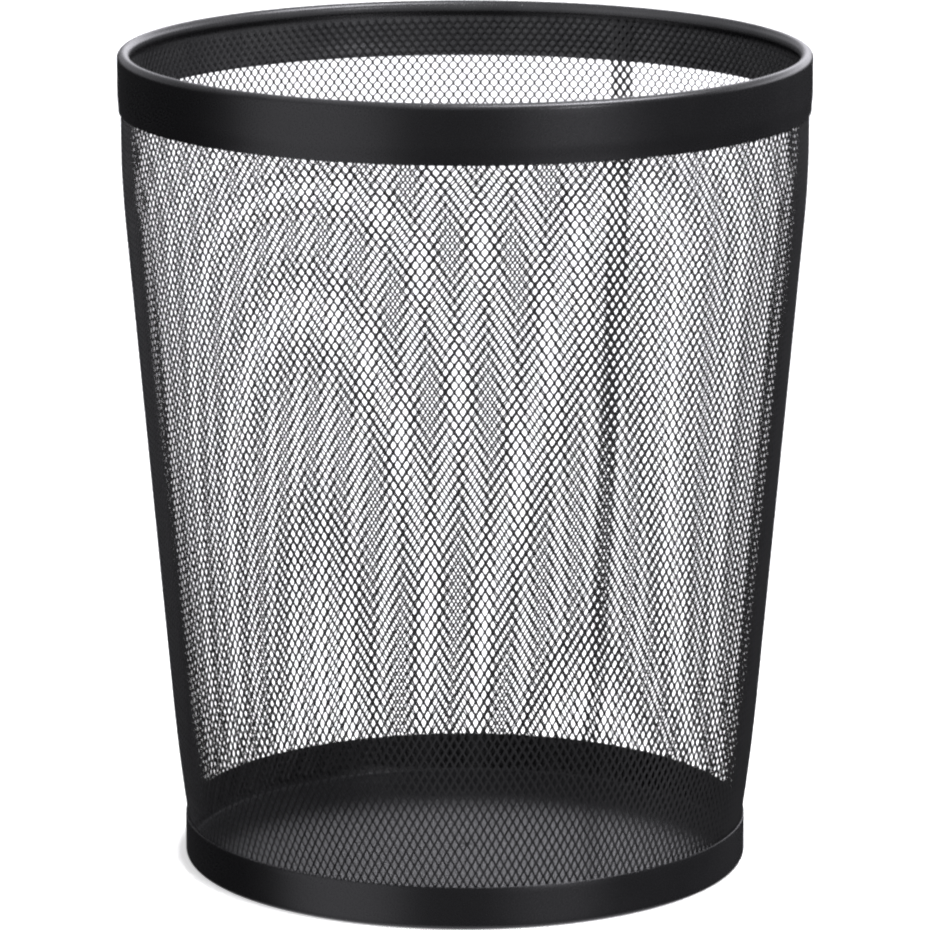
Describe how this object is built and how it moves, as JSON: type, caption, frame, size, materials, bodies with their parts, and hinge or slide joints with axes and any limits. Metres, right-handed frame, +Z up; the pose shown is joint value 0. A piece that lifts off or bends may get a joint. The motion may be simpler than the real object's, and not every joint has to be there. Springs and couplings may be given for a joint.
{
  "type": "wastebasket",
  "caption": "Round tapered office wastebasket of black expanded steel mesh, with a solid rolled rim band, a solid foot band and a flat floor.",
  "frame": {"origin": "centre of the foot, on the surface that the basket stands on", "axes": "+Z up along the basket's axis from the foot to the mouth; -Y towards the front; +X to the right seen from the front; the lapped seam is at the back on the +X side"},
  "size_m": [0.2956, 0.2956, 0.353],
  "materials": {
    "band_paint": "satin black powder coat on sheet steel",
    "mesh_paint": "satin black powder coat on expanded steel mesh",
    "floor_paint": "semi-gloss black powder coat on flat sheet steel"
  },
  "bodies": {
    "root": {"rim_band": "band_paint", "mesh_wall": "mesh_paint", "foot_band": "band_paint", "floor_plate": "floor_paint"}
  },
  "joints": []
}
